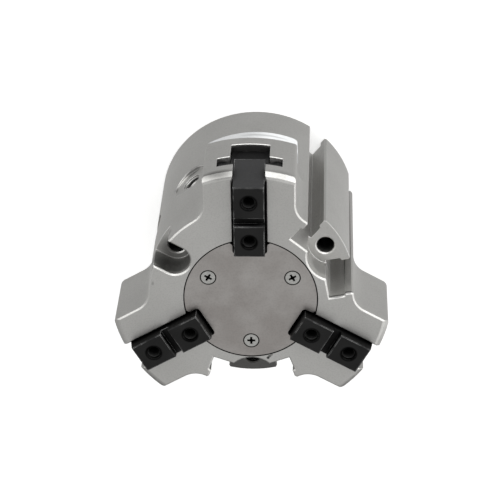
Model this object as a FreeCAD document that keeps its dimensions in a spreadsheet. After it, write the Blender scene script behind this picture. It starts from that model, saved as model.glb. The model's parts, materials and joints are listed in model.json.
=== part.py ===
import FreeCAD, Part
import Sketcher
import math
import os
import re
from FreeCAD import Placement, Rotation, Vector

# Three jaw centric gripper, driven by a pneumatic piston through a wedge hook.
# Frame: +Z points to the jaws, the origin is the centre of the rear mounting face.
# Three wings stand at 30, 150 and 270 degrees about Z, with a gap between each two wings.
# At rest the jaws are closed: the piston and its wedge hook are at the front of their stroke.

doc = FreeCAD.newDocument("centric_gripper")
sheet = doc.addObject("Spreadsheet::Sheet", "Sizes")

# Driving dimensions in millimetres and degrees
SIZES = {
    # Housing
    "body_height": (57.0, "rear face to front face"),
    "body_diameter": (52.8, "round barrel"),
    "rear_chamfer": (0.6, "rear edge of the barrel"),
    "edge_break": (0.4, "front face edges"),
    "wing_reach": (36.1, "axis to the end of a wing"),
    "wing_width": (23.4, "flank to flank"),
    "wing_depth": (20.8, "front face to the rear of a wing"),
    "wing_root_radius": (5.5, "hollow round between wing and barrel"),
    "wing_corner_radius": (1.0, "upright corners at the end of a wing"),
    "wing_end_chamfer": (1.3, "front edge of the end of a wing"),
    "wing_rear_chamfer": (0.9, "rear edge of the end of a wing"),
    "first_wing_angle": (30.0, "direction of the first wing"),
    "wing_count": (3.0, "wings and jaws"),
    # Jaw guide, a T-slot in each wing
    "neck_slot_width": (8.2, "narrow opening at the front"),
    "bar_slot_width": (16.6, "cross bar of the T"),
    "bar_slot_top": (5.1, "front face to the cross bar"),
    "bar_slot_height": (4.4, "cross bar, front to rear"),
    "stem_slot_width": (10.0, "stem behind the cross bar"),
    "stem_slot_height": (6.6, "stem, front to rear"),
    "guide_clearance": (0.05, "jaw to slot, front and rear"),
    "side_clearance": (0.2, "jaw to slot, each side"),
    # Jaws
    "jaw_height": (3.0, "jaw above the front face"),
    "jaw_inner_end": (13.9, "axis to the inner end"),
    "jaw_outer_end": (35.1, "axis to the outer end of the neck"),
    "jaw_bar_end": (34.0, "axis to the outer end of the T"),
    "jaw_outer_top": (33.3, "axis to the outer end at the top"),
    "jaw_draft_height": (12.0, "height over which the outer end slopes"),
    "jaw_stroke": (4.0, "travel of one jaw"),
    "jaw_edge_break": (0.2, "edges of the finger seat"),
    "leg_outer": (10.9, "axis to the outside of the driving leg"),
    "leg_height": (3.9, "driving leg below the stem"),
    "rod_gap": (0.35, "driving leg to the rod"),
    "finger_hole_inner": (18.0, "axis to the inner finger thread"),
    "finger_hole_pitch": (11.0, "between the two finger threads"),
    "finger_hole_diameter": (3.3, "core of the finger thread"),
    "finger_hole_depth": (7.0, "finger thread"),
    "finger_hole_mouth": (3.7, "countersink of the finger thread"),
    "key_slot_width": (2.2, "cross slot between the threads"),
    "key_slot_depth": (1.9, "cross slot"),
    # Wedge hook
    "wedge_angle": (30.0, "slope of the ribs to the axis"),
    "hook_diameter": (20.0, "round core"),
    "hook_top_gap": (0.6, "front end below the narrow slot"),
    "hook_face_top": (12.6, "axis to the sloped face at the front end"),
    "hook_height": (12.0, "front end to rear end"),
    "hook_arm_width": (9.4, "arm in a stem slot"),
    "hook_bore_gap": (0.3, "core to the chamber wall"),
    "rib_neck_width": (3.2, "T rib, narrow part"),
    "rib_head_width": (6.2, "T rib, head"),
    "rib_neck_height": (1.3, "T rib, narrow part, square to the slope"),
    "rib_head_height": (1.6, "T rib, head, square to the slope"),
    "rib_clearance": (0.08, "rib to its groove, all round"),
    # Rod, piston and magnet
    "rod_diameter": (12.0, "piston rod"),
    "rod_nose_diameter": (8.0, "seat of the wedge hook"),
    "rod_nose_length": (6.0, "seat of the wedge hook"),
    "bore_diameter": (32.0, "cylinder bore"),
    "piston_clearance": (0.1, "piston to bore, radial"),
    "seal_clearance": (0.06, "seals and bush to what slides along them, radial"),
    "piston_stop_gap": (0.15, "piston boss to the partition at rest"),
    "piston_ring_gap": (0.45, "piston to the retaining ring at rest"),
    "piston_boss_diameter": (24.0, "front boss of the piston"),
    "piston_front_height": (5.2, "front half of the piston"),
    "magnet_height": (1.6, "ring magnet"),
    "magnet_clearance": (0.8, "ring magnet to bore, radial"),
    "piston_hub_diameter": (16.0, "hub inside the ring magnet"),
    "piston_rear_height": (3.5, "rear half of the piston"),
    "seal_height": (1.8, "piston seals"),
    "seal_depth": (2.4, "piston seal grooves, radial"),
    "seal_land": (0.9, "piston face to seal groove"),
    # Partition with the rod guide
    "flange_shoulder": (32.0, "rear face to the shoulder in the bore"),
    "flange_height": (6.0, "partition"),
    "chamber_diameter": (30.4, "wedge chamber"),
    "fit_gap": (0.02, "covers to their seats, radial"),
    "bush_wall": (1.5, "rod bush"),
    "bush_length": (3.0, "rod bush"),
    "rod_seal_width": (2.6, "rod seal, radial"),
    "rod_seal_height": (2.2, "rod seal"),
    "partition_gap": (0.3, "partition's rear lip to the rod, radial"),
    "o_ring_height": (1.8, "O-ring grooves"),
    "o_ring_depth": (1.3, "O-ring grooves, radial"),
    "snap_ring_height": (1.1, "retaining rings"),
    "snap_ring_depth": (1.0, "retaining ring grooves, radial"),
    "snap_ring_width": (2.6, "retaining rings, radial"),
    "snap_ring_arc": (310.0, "retaining rings, as an angle"),
    "snap_ring_room": (0.05, "retaining rings to the bottom of their grooves, radial"),
    # Rear cover
    "cover_bore_diameter": (34.0, "rear cover seat, also the centring bore"),
    "rear_cover_height": (4.2, "rear cover"),
    "rear_cover_inset": (2.7, "rear face to the rear cover"),
    # Front cover plate and its screws
    "plate_diameter": (34.0, "front cover plate"),
    "plate_thickness": (3.0, "front cover plate"),
    "plate_gap": (0.2, "plate to its seat, radial"),
    "plate_slot_width": (8.8, "jaw slots in the plate"),
    "plate_slot_end": (13.1, "axis to the inner end of a slot"),
    "plate_corner_radius": (0.9, "corners of the slots, at the rim too"),
    "plate_inset": (0.05, "plate below the front face"),
    "screw_circle": (24.8, "pitch circle of the plate screws"),
    "screw_diameter": (2.0, "plate screws"),
    "screw_head_diameter": (3.8, "plate screws"),
    "screw_head_gap": (0.15, "screw head to its countersink, radial"),
    "screw_length": (7.0, "plate screws"),
    "recess_width": (0.55, "cross recess, one wing"),
    "recess_span": (2.1, "cross recess, tip to tip"),
    "recess_depth": (0.9, "cross recess"),
    # Mounting holes and their counterbores
    "mount_circle": (44.0, "pitch circle of the mounting holes"),
    "mount_hole_diameter": (4.5, "mounting holes"),
    "mount_hole_chamfer": (0.35, "mounting holes"),
    "counterbore_depth": (8.6, "front face to the screw seat"),
    "slot_pocket_width": (7.9, "screw pocket in the plain gap"),
    "round_pocket_diameter": (13.3, "screw pockets in the grooved gaps"),
    "round_pocket_centre": (24.35, "axis to the centre of a round pocket"),
    "plain_gap_angle": (330.0, "gap with the ports"),
    "dowel_diameter": (3.0, "dowel holes in the rear face"),
    "dowel_depth": (5.0, "dowel holes"),
    # Sensor grooves
    "groove_angle": (19.9, "groove to the middle of its gap"),
    "groove_floor": (19.95, "axis to the groove floor"),
    "groove_width": (6.4, "inside"),
    "groove_mouth": (5.2, "between the lips"),
    "groove_lip": (2.7, "lips, radial"),
    "groove_lip_slope": (0.4, "slope of the lips' undersides, radial"),
    "groove_mouth_chamfer": (0.65, "outer edges of the lips"),
    # Air ports
    "port_angle": (20.9, "port to the middle of the plain gap"),
    "port_height": (30.2, "rear face to the port axis"),
    "port_diameter": (4.2, "core of the port thread"),
    "port_mouth_diameter": (5.3, "relief at the mouth of the port thread"),
    "port_mouth_depth": (0.5, "relief at the mouth of the port thread"),
    "port_depth": (7.0, "barrel surface to the bottom of the port"),
    "spot_face_diameter": (11.0, "flat around a port"),
    "spot_face_depth": (0.8, "flat around a port"),
    "channel_diameter": (2.5, "air channels"),
    "channel_circle": (40.4, "pitch circle of the long air channels"),
    "front_channel_height": (24.8, "rear face to the front chamber feed"),
    "rear_channel_height": (8.6, "rear face to the rear chamber feed"),
    "plug_diameter": (3.0, "set screws in the rear face"),
    "plug_length": (4.0, "set screws"),
    "plug_inset": (0.3, "set screws below the rear face"),
    "plug_socket": (1.5, "hexagon socket, across flats"),
    "plug_socket_depth": (1.4, "hexagon socket"),
    # Fasteners inside
    "cap_head_diameter": (8.5, "screw heads"),
    "cap_head_height": (2.4, "screw heads"),
    "cap_shank_diameter": (5.0, "screw shanks"),
    "cap_shank_length": (9.0, "screw shanks"),
    "cap_head_gap": (0.25, "screw heads to their counterbores, radial"),
    "cap_socket": (4.0, "hexagon socket, across flats"),
    "cap_socket_depth": (1.4, "hexagon socket"),
    "cap_head_inset": (0.1, "screw heads below their surfaces"),
    # Label
    "label_width": (24.4, "label, straight across"),
    "label_middle": (20.7, "rear face to the middle of the label"),
    "label_height": (14.0, "label"),
    "label_slant": (2.0, "label to the rear face, as an angle"),
    "label_thickness": (0.12, "label"),
    "label_corner_radius": (1.2, "label"),
    "label_angle": (271.5, "direction of the label"),
}

for row, (alias, (value, note)) in enumerate(SIZES.items(), start=1):
    sheet.set(f"A{row}", alias)
    sheet.set(f"B{row}", str(value))
    sheet.setAlias(f"B{row}", alias)
    sheet.set(f"C{row}", note)
doc.recompute()

# Room that a cutting tool passes beyond the surface it enters
PASS = "2"

# Heights above the rear face, and other places that several pieces share
BAR_TOP = "(body_height - bar_slot_top)"
BAR_BOTTOM = "(body_height - bar_slot_top - bar_slot_height)"
STEM_BOTTOM = "(body_height - bar_slot_top - bar_slot_height - stem_slot_height)"
PLATE_SEAT = "(body_height - plate_thickness - plate_inset)"
HOOK_TOP = f"({BAR_TOP} - hook_top_gap)"
HOOK_BOTTOM = f"({HOOK_TOP} - hook_height)"
SLOPE = "tan(wedge_angle * 1 deg)"
FLANGE_BOTTOM = "(flange_shoulder - flange_height)"
FLANGE_RING_BOTTOM = f"({FLANGE_BOTTOM} - snap_ring_height)"
PISTON_TOP = f"({FLANGE_RING_BOTTOM} - piston_ring_gap)"
PISTON_MIDDLE = f"({PISTON_TOP} - piston_front_height)"
REAR_DISC_TOP = f"({PISTON_MIDDLE} - magnet_height)"
PISTON_BOTTOM = f"({REAR_DISC_TOP} - piston_rear_height)"
COVER_TOP = "(rear_cover_inset + rear_cover_height)"
ROD_TOP = f"({HOOK_BOTTOM} + rod_nose_length)"
SEAL_TOP = f"({FLANGE_BOTTOM} + flange_height - bush_length)"
JAW_TOP = "(body_height + jaw_height)"


def with_sheet(text):
    """Puts the sheet's name before each size in an expression."""
    return re.sub(r"[a-z_]+", lambda word: "Sizes." * (word.group() in SIZES) + word.group(), text)


def number(text):
    """Value of an expression of sizes."""
    return float(sheet.evalExpression(with_sheet(text).replace("Sizes.", "")))


def bind(item, path, text):
    item.setExpression(path, with_sheet(text))


def origin_part(body, role):
    return next(part for part in body.Origin.OriginFeatures if part.Role == role)


def new_body(label):
    body = doc.addObject("PartDesign::Body", label)
    body.Label = label
    return body


def new_sketch(body, name, plane, lift="0", turn="0", shift="0"):
    """Sketch on an origin plane of its body, turned about Z by turn.

    XY: at height lift. XZ: x is radial and counts from radius lift, y is height.
    YZ: stands across the radius, at radius lift and height shift.
    """
    sketch = body.newObject("Sketcher::SketchObject", name)
    sketch.AttachmentSupport = [(origin_part(body, plane + "_Plane"), "")]
    sketch.MapMode = "FlatFace"
    upright = Vector(0, 0, 1) if plane == "XY" else Vector(0, 1, 0)
    sketch.AttachmentOffset = Placement(Vector(), Rotation(upright, 1))
    bind(sketch, "AttachmentOffset.Rotation.Angle", turn)
    along = f"({lift}) * cos(({turn}) * 1 deg)"
    across = f"({lift}) * sin(({turn}) * 1 deg)"
    offsets = {"XY": ("0", "0", lift), "XZ": (along, "0", f"-({across})"), "YZ": (across, shift, along)}
    for axis, offset in zip("xyz", offsets[plane]):
        bind(sketch, f"AttachmentOffset.Base.{axis}", offset)
    return sketch


def dimension(sketch, kind, *where, size):
    """Driving constraint whose value is an expression of sizes."""
    index = sketch.addConstraint(Sketcher.Constraint(kind, *where, number(size)))
    bind(sketch, f"Constraints[{index}]", size)


def draw_outline(sketch, corners):
    """Closed outline. A corner is (x, y), or (x, y, radius) when an arc leaves it.

    A positive radius turns to the left, a negative one to the right.
    """
    first = sketch.GeometryCount
    count = len(corners)
    places = [Vector(number(corner[0]), number(corner[1]), 0) for corner in corners]
    ends = []
    for step, corner in enumerate(corners):
        start, end = places[step], places[(step + 1) % count]
        if len(corner) == 2:
            sketch.addGeometry(Part.LineSegment(start, end))
            ends.append((1, 2))
            continue
        radius = number(corner[2])
        chord = end - start
        left = Vector(-chord.y, chord.x, 0).normalize()
        reach = math.sqrt(max(radius * radius - chord.Length * chord.Length / 4, 0))
        centre = (start + end) * 0.5 + left * math.copysign(reach, radius)
        low, high = (start, end) if radius > 0 else (end, start)
        angles = [math.atan2(place.y - centre.y, place.x - centre.x) for place in (low, high)]
        circle = Part.Circle(centre, Vector(0, 0, 1), abs(radius))
        sketch.addGeometry(Part.ArcOfCircle(circle, *angles))
        ends.append((1, 2) if radius > 0 else (2, 1))
    for step, corner in enumerate(corners):
        following = (step + 1) % count
        sketch.addConstraint(Sketcher.Constraint(
            "Coincident", first + step, ends[step][1], first + following, ends[following][0]))
        place = (first + step, ends[step][0])
        dimension(sketch, "DistanceX", -1, 1, *place, size=corner[0])
        dimension(sketch, "DistanceY", -1, 1, *place, size=corner[1])
        if len(corner) == 3:
            dimension(sketch, "Radius", first + step, size=corner[2].lstrip("-"))


def draw_circle(sketch, across, up, diameter):
    centre = Vector(number(across), number(up), 0)
    index = sketch.addGeometry(Part.Circle(centre, Vector(0, 0, 1), number(diameter) / 2))
    dimension(sketch, "DistanceX", -1, 1, index, 3, size=across)
    dimension(sketch, "DistanceY", -1, 1, index, 3, size=up)
    dimension(sketch, "Diameter", index, size=diameter)


def box_corners(left, right, bottom, top):
    return [(left, bottom), (right, bottom), (right, top), (left, top)]


def mirrored(right):
    """Outline that is the same on both sides of the sketch's upright axis, from its right side, top down."""
    return [(f"-({across})", up) for across, up in right] + right[::-1]


def extrude(body, kind, name, sketch, length, both=False, reverse=False):
    """Pad or Pocket over a length, to one side of the sketch or half of it to both sides."""
    feature = body.newObject("PartDesign::" + kind, name)
    feature.Profile = sketch
    if both:
        feature.SideType = "Symmetric"
    feature.Reversed = reverse
    bind(feature, "Length", length)
    return feature


def spin(body, kind, name, sketch, angle="360"):
    """Revolution or Groove about the upright axis of the sketch, half the angle to both sides of it."""
    feature = body.newObject("PartDesign::" + kind, name)
    feature.Profile = sketch
    feature.ReferenceAxis = (sketch, ["V_Axis"])
    feature.Midplane = True
    bind(feature, "Angle", angle)
    return feature


def spread(body, name, features, count="wing_count", angle="360"):
    """Repeats features about the body's Z axis."""
    pattern = body.newObject("PartDesign::PolarPattern", name)
    pattern.Originals = features
    pattern.Axis = (origin_part(body, "Z_Axis"), [""])
    bind(pattern, "Angle", angle)
    bind(pattern, "Occurrences", count)
    body.Tip = pattern
    return pattern


def turned_body(label, corners, angle="360", turn="0"):
    """Piece that is turned about the axis, from its half section."""
    body = new_body(label)
    sketch = new_sketch(body, label + "_section", "XZ", turn=turn)
    draw_outline(sketch, corners)
    spin(body, "Revolution", label + "_turning", sketch, angle)
    return body


def draw_hexagon(sketch, across, flats):
    """Hexagon about a place on the sketch's x axis, from its width across flats."""
    corners = []
    for corner in range(6):
        turn = f"{60 * corner}"
        reach = f"({flats}) / sqrt(3)"
        corners.append((f"{across} + {reach} * cos({turn} * 1 deg)", f"{reach} * sin({turn} * 1 deg)"))
    draw_outline(sketch, corners)


def groove_around(body, name, corners):
    """Turned groove from its half section."""
    sketch = new_sketch(body, name + "_section", "XZ")
    draw_outline(sketch, corners)
    return spin(body, "Groove", name, sketch)


def edge_names(shape, wanted):
    return [f"Edge{index}" for index, edge in enumerate(shape.Edges, start=1) if wanted(edge)]


def dress(body, kind, name, wanted, size):
    """Fillet or chamfer on the edges of the body's last feature that are wanted."""
    doc.recompute()
    base = body.Tip
    feature = body.newObject("PartDesign::" + kind, name)
    feature.Base = (base, edge_names(base.Shape, wanted))
    bind(feature, "Radius" if kind == "Fillet" else "Size", size)
    return feature


def drill(body, name, centres, diameter, depth, mouth):
    """Blind holes with a countersunk mouth, at the circles of a sketch."""
    doc.recompute()
    hole = body.newObject("PartDesign::Hole", name)
    hole.Profile = centres
    hole.ThreadType = "None"
    hole.DepthType = "Dimension"
    hole.HoleCutType = "Countersink"
    hole.HoleCutCustomValues = True
    hole.HoleCutCountersinkAngle = 90
    bind(hole, "Diameter", diameter)
    bind(hole, "Depth", depth)
    bind(hole, "HoleCutDiameter", mouth)
    return hole


def radius_of(point):
    return math.hypot(point.x, point.y)


def on_height(edge, height):
    return all(abs(vertex.Z - height) < 1e-4 for vertex in edge.Vertexes)


def upright(edge):
    return len(edge.Vertexes) == 2 and radius_of(edge.Vertexes[0].Point - edge.Vertexes[1].Point) < 1e-6


# Housing: barrel
def add_barrel(body):
    sketch = new_sketch(body, "barrel_section", "XZ")
    draw_outline(sketch, [
        ("0", "0"),
        ("body_diameter / 2 - rear_chamfer", "0"),
        ("body_diameter / 2", "rear_chamfer"),
        ("body_diameter / 2", "body_height"),
        ("0", "body_height"),
    ])
    spin(body, "Revolution", "barrel", sketch)


# Housing: wings, each with hollow rounds at its root and rounded corners at its end
def add_wings(body):
    half = "wing_width / 2"
    root = "(wing_width / 2 + wing_root_radius)"
    root_reach = "(body_diameter / 2 + wing_root_radius)"
    root_out = f"sqrt({root_reach} ^ 2 - {root} ^ 2)"
    root_share = f"(body_diameter / 2 / {root_reach})"
    corner = "(wing_width / 2 - wing_corner_radius)"
    corner_reach = "(wing_reach - wing_corner_radius)"
    corner_out = f"sqrt({corner_reach} ^ 2 - {corner} ^ 2)"
    corner_share = f"(wing_reach / {corner_reach})"
    upper = [
        (f"{root_out} * {root_share}", f"{root} * {root_share}"),
        (root_out, half),
        (corner_out, half),
        (f"{corner_out} * {corner_share}", f"{corner} * {corner_share}"),
    ]
    lower = [(across, f"-({up})") for across, up in upper]
    sketch = new_sketch(body, "wing_outline", "XY", lift="body_height - wing_depth", turn="first_wing_angle")
    draw_outline(sketch, [
        (*lower[0], "-wing_root_radius"),
        lower[1],
        (*lower[2], "wing_corner_radius"),
        (*lower[3], "wing_reach"),
        (*upper[3], "wing_corner_radius"),
        upper[2],
        (*upper[1], "-wing_root_radius"),
        upper[0],
    ])
    wing = extrude(body, "Pad", "wing", sketch, "wing_depth")
    spread(body, "wings", [wing])
    groove_around(body, "wing_end_bevel", [
        ("wing_reach - wing_end_chamfer", "body_height"),
        (f"wing_reach + {PASS}", f"body_height - wing_end_chamfer - {PASS}"),
        (f"wing_reach + {PASS}", "body_height"),
    ])
    groove_around(body, "wing_rear_bevel", [
        ("wing_reach - wing_rear_chamfer", "body_height - wing_depth"),
        (f"wing_reach + {PASS}", "body_height - wing_depth"),
        (f"wing_reach + {PASS}", f"body_height - wing_depth + wing_rear_chamfer + {PASS}"),
    ])


# Housing: T-slots that guide the jaws, open at the wing ends and into the middle
def add_jaw_slots(body):
    sketch = new_sketch(body, "jaw_slot_section", "YZ", turn="first_wing_angle")
    right = [
        ("neck_slot_width / 2", f"body_height + {PASS}"),
        ("neck_slot_width / 2", BAR_TOP),
        ("bar_slot_width / 2", BAR_TOP),
        ("bar_slot_width / 2", BAR_BOTTOM),
        ("stem_slot_width / 2", BAR_BOTTOM),
        ("stem_slot_width / 2", STEM_BOTTOM),
    ]
    draw_outline(sketch, mirrored(right))
    slot = extrude(body, "Pocket", "jaw_slot", sketch, f"wing_reach + {PASS}", reverse=True)
    spread(body, "jaw_slots", [slot])


# Housing: stepped bore, from the rear cover seat to the seat of the front plate
def add_bores(body):
    groove_around(body, "stepped_bore", [
        ("0", f"-{PASS}"),
        ("cover_bore_diameter / 2", f"-{PASS}"),
        ("cover_bore_diameter / 2", COVER_TOP),
        ("bore_diameter / 2", COVER_TOP),
        ("bore_diameter / 2", "flange_shoulder"),
        ("chamber_diameter / 2", "flange_shoulder"),
        ("chamber_diameter / 2", STEM_BOTTOM),
        ("hook_diameter / 2 + hook_bore_gap", STEM_BOTTOM),
        ("hook_diameter / 2 + hook_bore_gap", PLATE_SEAT),
        ("plate_diameter / 2 + plate_gap", PLATE_SEAT),
        ("plate_diameter / 2 + plate_gap", f"body_height + {PASS}"),
        ("0", f"body_height + {PASS}"),
    ])
    groove_around(body, "cover_ring_groove", box_corners(
        "cover_bore_diameter / 2 - 1", "cover_bore_diameter / 2 + snap_ring_depth",
        "rear_cover_inset - snap_ring_height", "rear_cover_inset"))
    groove_around(body, "flange_ring_groove", box_corners(
        "bore_diameter / 2 - 1", "bore_diameter / 2 + snap_ring_depth", FLANGE_RING_BOTTOM, FLANGE_BOTTOM))


# Housing: mounting holes through the gaps, and the pockets that their screw heads sit in
def add_mounting_holes(body):
    sketch = new_sketch(body, "mount_hole_centre", "XY", lift="body_height", turn="plain_gap_angle")
    draw_circle(sketch, "mount_circle / 2", "0", "mount_hole_diameter")
    hole = extrude(body, "Pocket", "mount_hole", sketch, f"body_height + {PASS}")
    spread(body, "mount_holes", [hole])

    pocket = new_sketch(body, "slot_pocket_outline", "XY", lift="body_height", turn="plain_gap_angle")
    wall = "slot_pocket_width / 2"
    draw_outline(pocket, [
        (f"body_diameter / 2 + {PASS}", f"-({wall})"),
        (f"body_diameter / 2 + {PASS}", wall),
        ("mount_circle / 2", wall, wall),
        (f"mount_circle / 2 - {wall}", "0", wall),
        ("mount_circle / 2", f"-({wall})"),
    ])
    extrude(body, "Pocket", "slot_pocket", pocket, "counterbore_depth")
    for step in (1, 2):
        turn = f"plain_gap_angle + {step} * 360 / wing_count"
        pocket = new_sketch(body, f"round_pocket_outline_{step}", "XY", lift="body_height", turn=turn)
        draw_circle(pocket, "round_pocket_centre", "0", "round_pocket_diameter")
        extrude(body, "Pocket", f"round_pocket_{step}", pocket, "counterbore_depth")


# Housing: lengthwise sensor grooves with lips, one on each side of the two other gaps
def add_sensor_grooves(body):
    inside = "groove_width / 2"
    mouth = "groove_mouth / 2"
    lip = "(body_diameter / 2 - groove_lip)"
    right = [
        ("groove_floor", inside),
        (lip, inside),
        (f"{lip} + groove_lip_slope", mouth),
        ("body_diameter / 2 - groove_mouth_chamfer", mouth),
        (f"body_diameter / 2 + {PASS}", f"{mouth} + groove_mouth_chamfer + {PASS}"),
    ]
    for step in (1, 2):
        for side, sign in (("a", "-"), ("b", "+")):
            turn = f"plain_gap_angle + {step} * 360 / wing_count {sign} groove_angle"
            sketch = new_sketch(body, f"groove_section_{step}{side}", "XY", lift="body_height", turn=turn)
            draw_outline(sketch, [(across, f"-({up})") for across, up in right] + right[::-1])
            extrude(body, "Pocket", f"sensor_groove_{step}{side}", sketch, f"body_height + {PASS}")


# Housing: dowel holes in the rear face
def add_dowel_holes(body):
    for step in (0, 2):
        turn = f"first_wing_angle + {step} * 360 / wing_count"
        sketch = new_sketch(body, f"dowel_centre_{step}", "XY", turn=turn)
        draw_circle(sketch, "mount_circle / 2", "0", "dowel_diameter")
        extrude(body, "Pocket", f"dowel_hole_{step}", sketch, "dowel_depth", reverse=True)


# Housing: air ports with spot faces, each with a long channel and a short feed into its chamber
def add_ports(body):
    surface = "body_diameter / 2"
    chambers = (("front", "-", "front_channel_height"), ("rear", "+", "rear_channel_height"))
    for name, sign, feed_height in chambers:
        turn = f"plain_gap_angle {sign} port_angle"
        circles = (
            ("spot_face", "spot_face_diameter", "spot_face_depth"),
            ("port_mouth", "port_mouth_diameter", "spot_face_depth + port_mouth_depth"),
            ("port", "port_diameter", "port_depth"),
        )
        for part, diameter, depth in circles:
            lift = f"{surface} + {PASS}"
            sketch = new_sketch(body, f"{name}_{part}_outline", "YZ", lift, turn, "port_height")
            draw_circle(sketch, "0", "0", diameter)
            extrude(body, "Pocket", f"{name}_{part}", sketch, f"{depth} + {PASS}")
        channel = new_sketch(body, f"{name}_channel_outline", "XY", turn=turn)
        draw_circle(channel, "channel_circle / 2", "0", "channel_diameter")
        extrude(body, "Pocket", f"{name}_channel", channel, "port_height", reverse=True)
        thread = new_sketch(body, f"{name}_plug_outline", "XY", turn=turn)
        draw_circle(thread, "channel_circle / 2", "0", "plug_diameter")
        extrude(body, "Pocket", f"{name}_plug_hole", thread, "plug_length + plug_inset", reverse=True)
        start = "(bore_diameter / 2 - 1)"
        feed = new_sketch(body, f"{name}_feed_outline", "YZ", start, turn, feed_height)
        draw_circle(feed, "0", "0", "channel_diameter")
        extrude(body, "Pocket", f"{name}_feed", feed, f"channel_circle / 2 - {start}", reverse=True)


# Housing: thread cores for the plate screws
def add_plate_threads(body):
    sketch = new_sketch(body, "plate_thread_centre", "XY", lift=PLATE_SEAT, turn="plain_gap_angle")
    draw_circle(sketch, "screw_circle / 2", "0", "screw_diameter")
    hole = extrude(body, "Pocket", "plate_thread", sketch, "screw_length - plate_thickness + 1")
    spread(body, "plate_threads", [hole])


def make_housing():
    body = new_body("housing")
    add_barrel(body)
    add_wings(body)
    add_jaw_slots(body)
    add_bores(body)
    add_mounting_holes(body)
    add_sensor_grooves(body)
    add_dowel_holes(body)
    add_ports(body)
    add_plate_threads(body)
    front = number("body_height")
    seat = number("plate_diameter / 2 + plate_gap")
    dress(body, "Chamfer", "front_edge_break", lambda edge: on_height(edge, front) and not (
        max(radius_of(vertex.Point) for vertex in edge.Vertexes) < seat + 1e-3), "edge_break")
    screw_seat = number("body_height - counterbore_depth")
    hole_edge = number("mount_hole_diameter * pi")
    dress(body, "Chamfer", "mount_hole_break", lambda edge: on_height(edge, screw_seat) and (
        abs(edge.Length - hole_edge) < 1e-3), "mount_hole_chamfer")
    return body


# Front cover plate with jaw slots and countersunk screw holes
def make_cover_plate():
    body = new_body("cover_plate")
    disc = new_sketch(body, "plate_outline", "XY", lift=PLATE_SEAT)
    draw_circle(disc, "0", "0", "plate_diameter")
    extrude(body, "Pad", "plate", disc, "plate_thickness")
    slot = new_sketch(body, "plate_slot_outline", "XY", lift="body_height", turn="first_wing_angle")
    half = "plate_slot_width / 2"
    draw_outline(slot, box_corners("plate_slot_end", f"plate_diameter / 2 + {PASS}", f"-{half}", half))
    cut = extrude(body, "Pocket", "plate_slot", slot, f"plate_thickness + {PASS}")
    spread(body, "plate_slots", [cut])
    dress(body, "Fillet", "slot_corners", upright, "plate_corner_radius")
    section = new_sketch(body, "screw_hole_section", "XZ", lift="screw_circle / 2", turn="plain_gap_angle")
    head = "(screw_head_diameter / 2 + screw_head_gap)"
    shank = "(screw_diameter / 2 + screw_head_gap)"
    top = "(body_height - plate_inset)"
    draw_outline(section, [
        ("0", f"{PLATE_SEAT} - 1"),
        (shank, f"{PLATE_SEAT} - 1"),
        (shank, f"{top} - ({head} - {shank})"),
        (head, top),
        (head, f"{top} + 1"),
        ("0", f"{top} + 1"),
    ])
    hole = spin(body, "Groove", "screw_hole", section)
    spread(body, "screw_holes", [hole])
    return body


# Countersunk screws of the cover plate, each with a cross recess
def make_cover_screws():
    body = new_body("cover_screws")
    section = new_sketch(body, "cover_screw_section", "XZ", lift="screw_circle / 2", turn="plain_gap_angle")
    head = "(screw_head_diameter / 2)"
    shank = "(screw_diameter / 2)"
    top = "(body_height - plate_inset)"
    draw_outline(section, [
        ("0", f"{top} - screw_length"),
        (shank, f"{top} - screw_length"),
        (shank, f"{top} - ({head} - {shank})"),
        (head, top),
        ("0", top),
    ])
    screw = spin(body, "Revolution", "cover_screw", section)
    recess = new_sketch(body, "cross_recess_outline", "XY", lift=top, turn="plain_gap_angle")
    middle = "screw_circle / 2"
    wide = "recess_span / 2"
    thin = "recess_width / 2"
    draw_outline(recess, [
        (f"{middle} + {wide}", f"-{thin}"),
        (f"{middle} + {wide}", thin),
        (f"{middle} + {thin}", thin),
        (f"{middle} + {thin}", wide),
        (f"{middle} - {thin}", wide),
        (f"{middle} - {thin}", thin),
        (f"{middle} - {wide}", thin),
        (f"{middle} - {wide}", f"-{thin}"),
        (f"{middle} - {thin}", f"-{thin}"),
        (f"{middle} - {thin}", f"-{wide}"),
        (f"{middle} + {thin}", f"-{wide}"),
        (f"{middle} + {thin}", f"-{thin}"),
    ])
    cross = extrude(body, "Pocket", "cross_recess", recess, "recess_depth")
    spread(body, "screws", [screw, cross])
    return body


def face_at(height, drop="0"):
    """Radius of the wedge's sloped face at a height, or of a plane set off from it square to the slope."""
    return f"(hook_face_top - ({HOOK_TOP} - ({height})) * {SLOPE} + ({drop}) / cos(wedge_angle * 1 deg))"


def sloped_corners(near, far, bottom, top):
    """Section between two planes that are parallel to the sloped face, set off from it by near and far."""
    return [
        (face_at(bottom, near), bottom),
        (face_at(bottom, far), bottom),
        (face_at(top, far), top),
        (face_at(top, near), top),
    ]


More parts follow.
